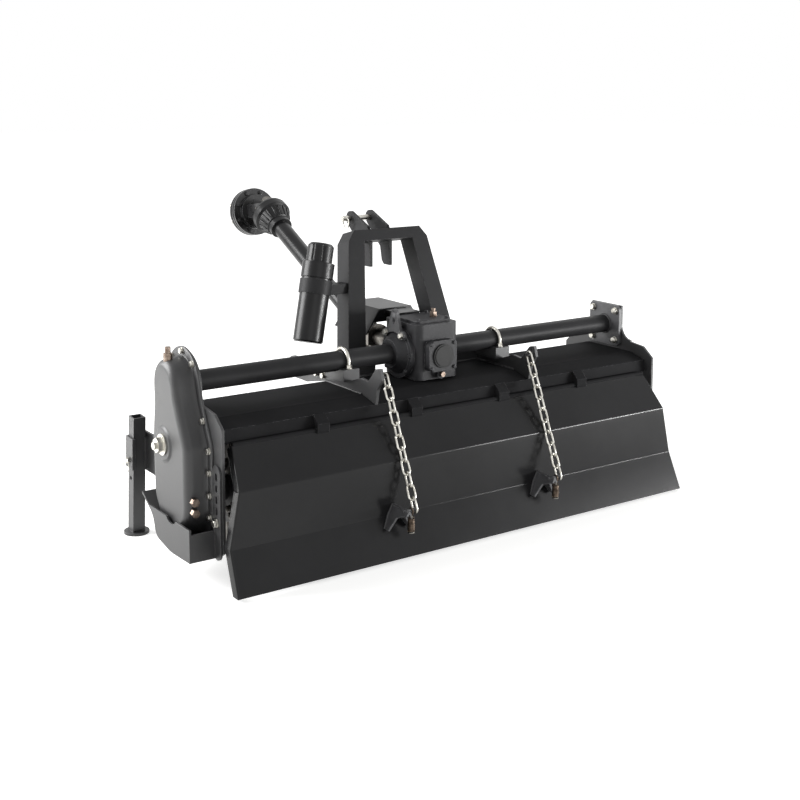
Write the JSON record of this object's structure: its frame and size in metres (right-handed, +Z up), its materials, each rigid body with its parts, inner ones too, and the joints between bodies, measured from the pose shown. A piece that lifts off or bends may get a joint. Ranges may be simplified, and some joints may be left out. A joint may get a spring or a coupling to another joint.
{
  "type": "rear-mounted rotary tiller",
  "caption": "Rear tractor-mounted rotary tiller with side gear drive, tined rotor under a deck, hinged tailgate on chains, mast hitch, drive shaft, skids and parking stand.",
  "frame": {"origin": "floor point under the centre of the overall box", "axes": "+X to the right seen from behind, +Y forward to the tractor, +Z up"},
  "size_m": [1.7534, 1.6014, 0.9517],
  "materials": {
    "charcoal_paint": "semi-gloss powder coat",
    "cast_iron": "painted rough casting",
    "zinc_steel": "zinc plated",
    "bare_steel": "plain steel",
    "brass_plugs": "satin",
    "black_rubber": "matt",
    "black_plastic": "gloss",
    "black_metal": "gloss black"
  },
  "bodies": {
    "frame": {"side_plate_left": "charcoal_paint", "side_plate_right": "charcoal_paint", "deck": "charcoal_paint", "gear_case": "charcoal_paint", "idler_nut": "zinc_steel", "case_plugs": "brass_plugs", "cross_tube": "charcoal_paint", "tube_flange": "charcoal_paint", "gearbox": "cast_iron", "gearbox_cap": "black_rubber", "gearbox_plugs": "brass_plugs", "lifting_eye": "charcoal_paint", "hood": "black_plastic", "mast": "charcoal_paint", "top_link_pin": "zinc_steel", "mast_feet": "charcoal_paint", "hitch_left": "charcoal_paint", "hitch_right": "charcoal_paint", "u_bolts": "zinc_steel", "lower_pins": "zinc_steel", "stand_sleeve": "charcoal_paint", "skid_left": "charcoal_paint", "skid_right": "charcoal_paint", "rotor_bearing": "cast_iron", "hinge_tabs": "charcoal_paint", "chain_left": "zinc_steel", "chain_right": "zinc_steel", "input_yoke": "bare_steel", "canister": "black_plastic", "canister_bracket": "charcoal_paint"},
    "rotor": {"rotor_shaft": "charcoal_paint", "tines": "bare_steel"},
    "tailgate": {"tailgate": "charcoal_paint", "gate_lugs": "charcoal_paint", "gate_springs": "bare_steel"},
    "stand": {"stand_leg": "charcoal_paint"},
    "rear_cross": {"rear_cross": "bare_steel"},
    "rear_half": {"rear_shaft": "bare_steel", "rear_guard": "black_plastic"},
    "front_half": {"front_shaft": "bare_steel", "front_guard": "black_plastic"},
    "front_cross": {"front_cross": "bare_steel"},
    "clutch": {"clutch": "black_metal"},
    "lid": {"canister_lid": "black_plastic"}
  },
  "joints": [
    {"name": "rotor_spin", "type": "hinge", "parent": "frame", "child": "rotor", "pos_m": [0.03075, -0.45184, 0.208], "axis": [1, 0, 0], "continuous": true},
    {"name": "tailgate_lift", "type": "hinge", "parent": "frame", "child": "tailgate", "pos_m": [0.03075, -0.63084, 0.383], "axis": [-1, 0, 0], "range_deg": [0, 60], "deforming": ["chain_left", "chain_right"]},
    {"name": "stand_slide", "type": "slide", "parent": "frame", "child": "stand", "axis": [0, -0.0698, 0.9976], "range_m": [0, 0.16]},
    {"name": "rear_joint_pitch", "type": "hinge", "parent": "frame", "child": "rear_cross", "pos_m": [0.03075, -0.12184, 0.521], "axis": [1, 0, 0], "range_deg": [-40, 8]},
    {"name": "rear_joint_yaw", "type": "hinge", "parent": "rear_cross", "child": "rear_half", "pos_m": [0.03075, -0.12184, 0.521], "axis": [0, -0.4617, 0.887], "range_deg": [-15, 15]},
    {"name": "shaft_telescope", "type": "slide", "parent": "rear_half", "child": "front_half", "axis": [0, 0.887, 0.4617], "range_m": [-0.12, 0.05]},
    {"name": "front_joint_yaw", "type": "hinge", "parent": "front_half", "child": "front_cross", "pos_m": [0.03075, 0.56647, 0.87932], "axis": [0, -0.4617, 0.887], "range_deg": [-15, 15]},
    {"name": "front_joint_pitch", "type": "hinge", "parent": "front_cross", "child": "clutch", "pos_m": [0.03075, 0.56647, 0.87932], "axis": [1, 0, 0], "range_deg": [-4, 60]},
    {"name": "lid_lift", "type": "slide", "parent": "frame", "child": "lid", "axis": [0.2443, 0.1286, 0.9611], "range_m": [0, 0.11]}
  ]
}
